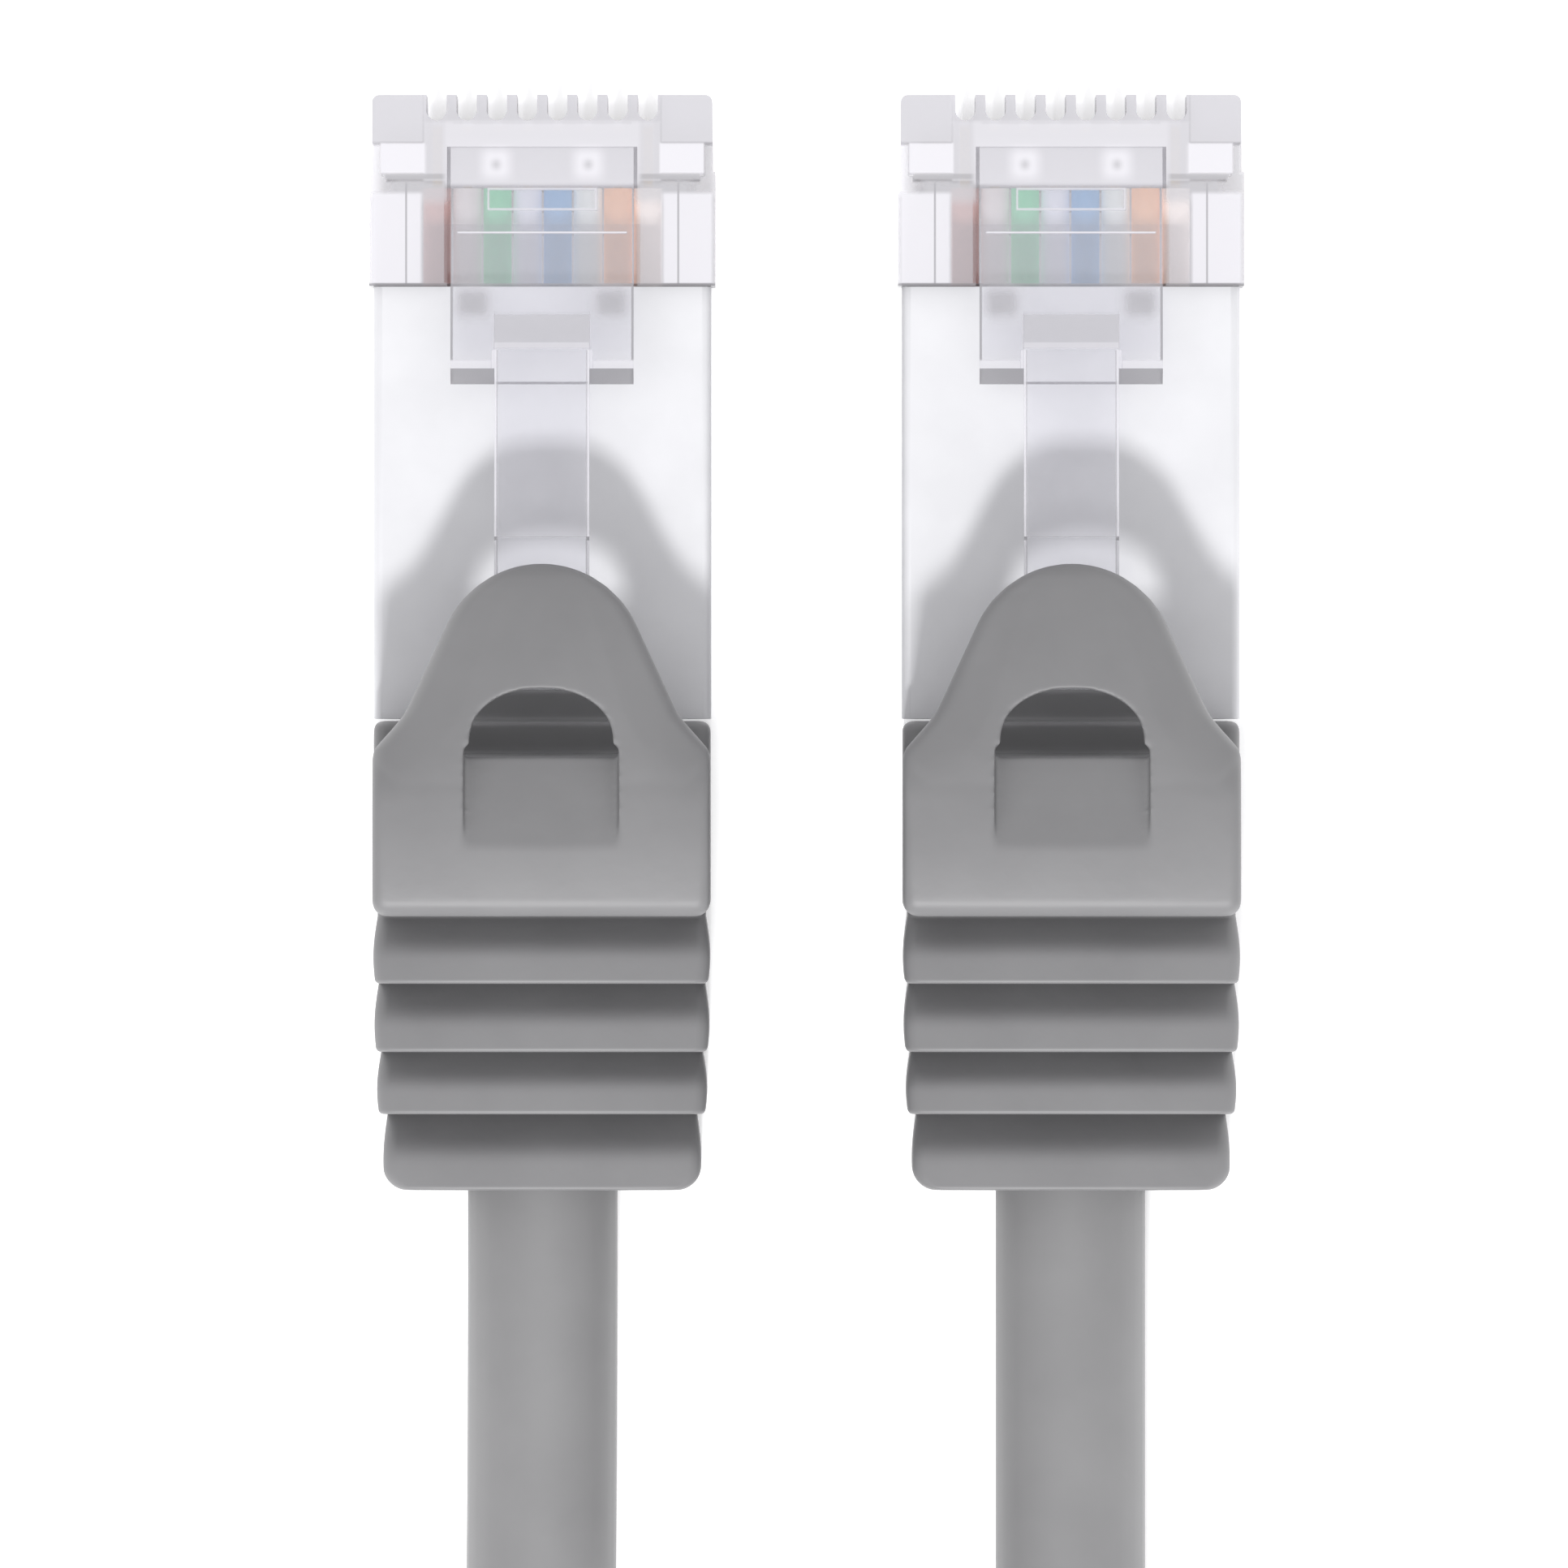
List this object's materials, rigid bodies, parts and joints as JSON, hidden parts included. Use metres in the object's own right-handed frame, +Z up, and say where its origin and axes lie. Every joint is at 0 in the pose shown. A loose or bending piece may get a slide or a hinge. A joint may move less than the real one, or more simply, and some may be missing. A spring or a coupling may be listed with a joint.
{
  "type": "ethernet patch cable",
  "caption": "Short round patch cable with a clear latched modular plug in a metal shield and a ribbed strain-relief boot with a latch hood at each end.",
  "frame": {"origin": "foot of the two plug ends, halfway between them and halfway along plug and boot, cable left out", "axes": "+Y towards the noses of the plugs, +Z up on the latch side, +X to the right from plug a to plug b"},
  "size_m": [0.0472, 0.1336, 0.0139],
  "materials": {
    "clear_body": "clear polycarbonate",
    "contact_gold": "gold-plated",
    "shield_nickel": "satin nickel plate",
    "braid_tin": "tinned braid",
    "copper": "bare copper",
    "boot_grey": "moulded soft PVC",
    "cable_jacket": "extruded PVC",
    "tie_fabric": "woven strap",
    "insulation_brown": "extruded polyethylene",
    "insulation_white_brown": "extruded polyethylene",
    "insulation_green": "extruded polyethylene",
    "insulation_white_blue": "extruded polyethylene",
    "insulation_blue": "extruded polyethylene",
    "insulation_white_green": "extruded polyethylene",
    "insulation_orange": "extruded polyethylene",
    "insulation_white_orange": "extruded polyethylene"
  },
  "bodies": {
    "cable": {"plug_housing_a": "clear_body", "load_bar_a": "clear_body", "contact_blades_a": "contact_gold", "shield_shell_a": "shield_nickel", "crimp_collar_a": "shield_nickel", "braid_sleeve_a": "braid_tin", "jacket_end_a": "cable_jacket", "boot_a": "boot_grey", "wire_cores_a": "copper", "wire_brown_a": "insulation_brown", "wire_white_brown_a": "insulation_white_brown", "wire_green_a": "insulation_green", "wire_white_blue_a": "insulation_white_blue", "wire_blue_a": "insulation_blue", "wire_white_green_a": "insulation_white_green", "wire_orange_a": "insulation_orange", "wire_white_orange_a": "insulation_white_orange", "plug_housing_b": "clear_body", "load_bar_b": "clear_body", "contact_blades_b": "contact_gold", "shield_shell_b": "shield_nickel", "crimp_collar_b": "shield_nickel", "braid_sleeve_b": "braid_tin", "jacket_end_b": "cable_jacket", "boot_b": "boot_grey", "wire_cores_b": "copper", "wire_brown_b": "insulation_brown", "wire_white_brown_b": "insulation_white_brown", "wire_green_b": "insulation_green", "wire_white_blue_b": "insulation_white_blue", "wire_blue_b": "insulation_blue", "wire_white_green_b": "insulation_white_green", "wire_orange_b": "insulation_orange", "wire_white_orange_b": "insulation_white_orange", "cable_lead_a": "cable_jacket", "cable_lead_b": "cable_jacket", "cable_coil": "cable_jacket", "tie_left": "tie_fabric", "tie_right": "tie_fabric"},
    "latch_a": {"latch_lever_a": "clear_body"},
    "latch_b": {"latch_lever_b": "clear_body"},
    "hood_a": {"boot_hood_a": "boot_grey"},
    "hood_b": {"boot_hood_b": "boot_grey"}
  },
  "joints": [
    {"name": "latch_a_press", "type": "hinge", "parent": "cable", "child": "latch_a", "pos_m": [-0.0089, 0.01668, 0.0064], "axis": [1, 0, 0], "range_deg": [0, 7], "stiffness_Nm_per_rad": 0.005},
    {"name": "hood_a_press", "type": "hinge", "parent": "cable", "child": "hood_a", "pos_m": [-0.0089, -0.00447, 0.0127], "axis": [-1, 0, 0], "range_deg": [0, 17.5]},
    {"name": "latch_b_press", "type": "hinge", "parent": "cable", "child": "latch_b", "pos_m": [0.0089, 0.01668, 0.0064], "axis": [1, 0, 0], "range_deg": [0, 7], "stiffness_Nm_per_rad": 0.005},
    {"name": "hood_b_press", "type": "hinge", "parent": "cable", "child": "hood_b", "pos_m": [0.0089, -0.00447, 0.0127], "axis": [-1, 0, 0], "range_deg": [0, 17.5]}
  ],
  "couplings": [
    {"joint": "hood_a_press", "follows": "latch_a_press", "ratio": 2.5},
    {"joint": "hood_b_press", "follows": "latch_b_press", "ratio": 2.5}
  ]
}
